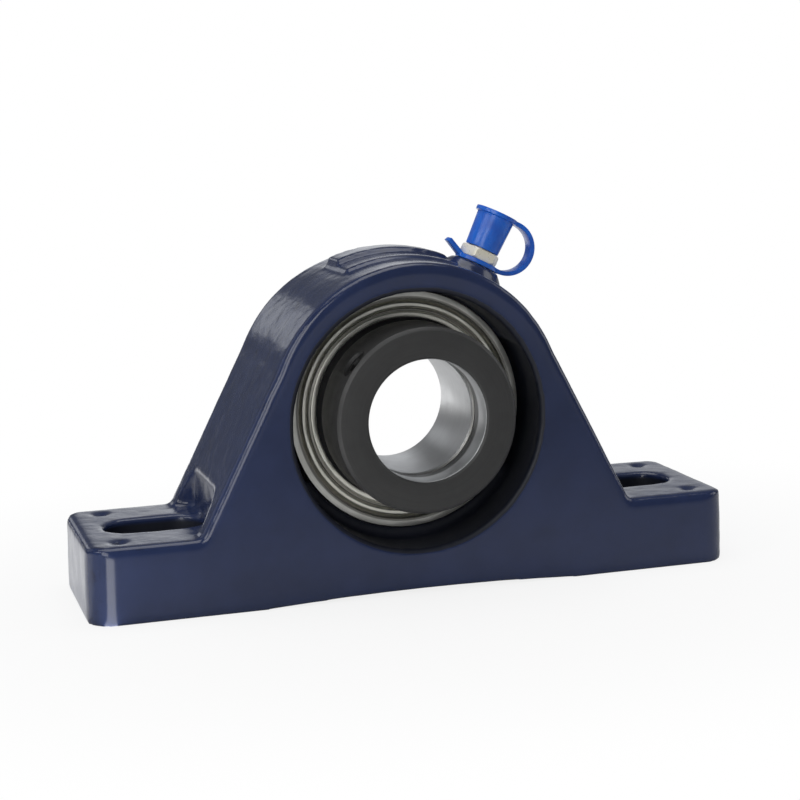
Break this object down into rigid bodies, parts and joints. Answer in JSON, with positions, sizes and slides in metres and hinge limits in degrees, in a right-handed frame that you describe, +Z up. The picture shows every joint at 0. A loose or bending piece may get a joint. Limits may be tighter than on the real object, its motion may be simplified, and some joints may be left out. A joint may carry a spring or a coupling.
{
  "type": "pillow block bearing",
  "caption": "Pillow block with a solid cast foot, a self-aligning ball bearing insert locked by an eccentric collar, slotted bolt holes and a capped grease nipple",
  "frame": {"origin": "on the base plane, midway between the two bolt slots, under the middle of the bearing", "axes": "+X along the base towards the grease nipple's side, -Y towards the locking collar, +Z up"},
  "size_m": [0.1376, 0.0425, 0.0784],
  "materials": {
    "painted_casting": "glossy dark navy paint over a sand casting",
    "ring_steel": "ground bearing steel",
    "ball_steel": "polished bearing steel",
    "shield_steel": "zinc-plated pressed steel",
    "seal_rubber": "black nitrile rubber",
    "cage_nylon": "natural nylon",
    "black_steel": "black oxide, turned",
    "screw_steel": "black oxide",
    "plated_steel": "yellowish zinc plating",
    "spring_steel": "drawn spring wire",
    "cap_plastic": "blue moulded plastic"
  },
  "bodies": {
    "housing": {"housing": "painted_casting", "nipple_body": "plated_steel", "valve_spring": "spring_steel"},
    "insert": {"outer_ring": "ring_steel", "front_shield": "shield_steel", "front_lip": "seal_rubber", "rear_shield": "shield_steel", "rear_lip": "seal_rubber"},
    "inner": {"inner_ring": "ring_steel"},
    "cage": {"cage": "cage_nylon"},
    "ball_1": {"ball_1": "ball_steel"},
    "ball_2": {"ball_2": "ball_steel"},
    "ball_3": {"ball_3": "ball_steel"},
    "ball_4": {"ball_4": "ball_steel"},
    "ball_5": {"ball_5": "ball_steel"},
    "ball_6": {"ball_6": "ball_steel"},
    "ball_7": {"ball_7": "ball_steel"},
    "ball_8": {"ball_8": "ball_steel"},
    "ball_9": {"ball_9": "ball_steel"},
    "collar": {"locking_collar": "black_steel"},
    "set_screw": {"set_screw": "screw_steel"},
    "valve_ball": {"valve_ball": "ball_steel"},
    "nipple_cap": {"nipple_cap": "cap_plastic"}
  },
  "joints": [
    {"name": "insert_align", "type": "hinge", "parent": "housing", "child": "insert", "pos_m": [0, 0, 0.0365], "axis": [1, 0, 0], "range_deg": [-2.5, 2.5]},
    {"name": "shaft_spin", "type": "hinge", "parent": "insert", "child": "inner", "pos_m": [0, 0, 0.0365], "axis": [0, -1, 0], "continuous": true},
    {"name": "cage_spin", "type": "hinge", "parent": "insert", "child": "cage", "pos_m": [0, 0, 0.0365], "axis": [0, -1, 0], "continuous": true},
    {"name": "ball_1_spin", "type": "hinge", "parent": "cage", "child": "ball_1", "pos_m": [0, 0, 0.05575], "axis": [0, -1, 0], "continuous": true},
    {"name": "ball_2_spin", "type": "hinge", "parent": "cage", "child": "ball_2", "pos_m": [-0.01237, 0, 0.05125], "axis": [0, -1, 0], "continuous": true},
    {"name": "ball_3_spin", "type": "hinge", "parent": "cage", "child": "ball_3", "pos_m": [-0.01896, 0, 0.03984], "axis": [0, -1, 0], "continuous": true},
    {"name": "ball_4_spin", "type": "hinge", "parent": "cage", "child": "ball_4", "pos_m": [-0.01667, 0, 0.02688], "axis": [0, -1, 0], "continuous": true},
    {"name": "ball_5_spin", "type": "hinge", "parent": "cage", "child": "ball_5", "pos_m": [-0.00658, 0, 0.01841], "axis": [0, -1, 0], "continuous": true},
    {"name": "ball_6_spin", "type": "hinge", "parent": "cage", "child": "ball_6", "pos_m": [0.00658, 0, 0.01841], "axis": [0, -1, 0], "continuous": true},
    {"name": "ball_7_spin", "type": "hinge", "parent": "cage", "child": "ball_7", "pos_m": [0.01667, 0, 0.02688], "axis": [0, -1, 0], "continuous": true},
    {"name": "ball_8_spin", "type": "hinge", "parent": "cage", "child": "ball_8", "pos_m": [0.01896, 0, 0.03984], "axis": [0, -1, 0], "continuous": true},
    {"name": "ball_9_spin", "type": "hinge", "parent": "cage", "child": "ball_9", "pos_m": [0.01237, 0, 0.05125], "axis": [0, -1, 0], "continuous": true},
    {"name": "collar_turn", "type": "hinge", "parent": "inner", "child": "collar", "pos_m": [0, 0, 0.0365], "axis": [0, -1, 0], "range_deg": [-20, 20]},
    {"name": "set_screw_travel", "type": "slide", "parent": "collar", "child": "set_screw", "axis": [-0.766, 0, 0.6428], "range_m": [-0.0003, 0.004]},
    {"name": "valve_press", "type": "slide", "parent": "housing", "child": "valve_ball", "axis": [0.4478, 0, 0.8942], "range_m": [-0.0008, 0], "stiffness_N_per_m": 120, "springref_m": 0.0006, "deforming": ["valve_spring"]},
    {"name": "cap_swivel", "type": "hinge", "parent": "housing", "child": "nipple_cap", "pos_m": [0.01923, 0, 0.06645], "axis": [0.4478, 0, 0.8942], "continuous": true}
  ],
  "couplings": [
    {"joint": "cage_spin", "follows": "shaft_spin", "ratio": 0.3969},
    {"joint": "ball_1_spin", "follows": "shaft_spin", "ratio": -2.3218},
    {"joint": "ball_2_spin", "follows": "shaft_spin", "ratio": -2.3218},
    {"joint": "ball_3_spin", "follows": "shaft_spin", "ratio": -2.3218},
    {"joint": "ball_4_spin", "follows": "shaft_spin", "ratio": -2.3218},
    {"joint": "ball_5_spin", "follows": "shaft_spin", "ratio": -2.3218},
    {"joint": "ball_6_spin", "follows": "shaft_spin", "ratio": -2.3218},
    {"joint": "ball_7_spin", "follows": "shaft_spin", "ratio": -2.3218},
    {"joint": "ball_8_spin", "follows": "shaft_spin", "ratio": -2.3218},
    {"joint": "ball_9_spin", "follows": "shaft_spin", "ratio": -2.3218}
  ]
}
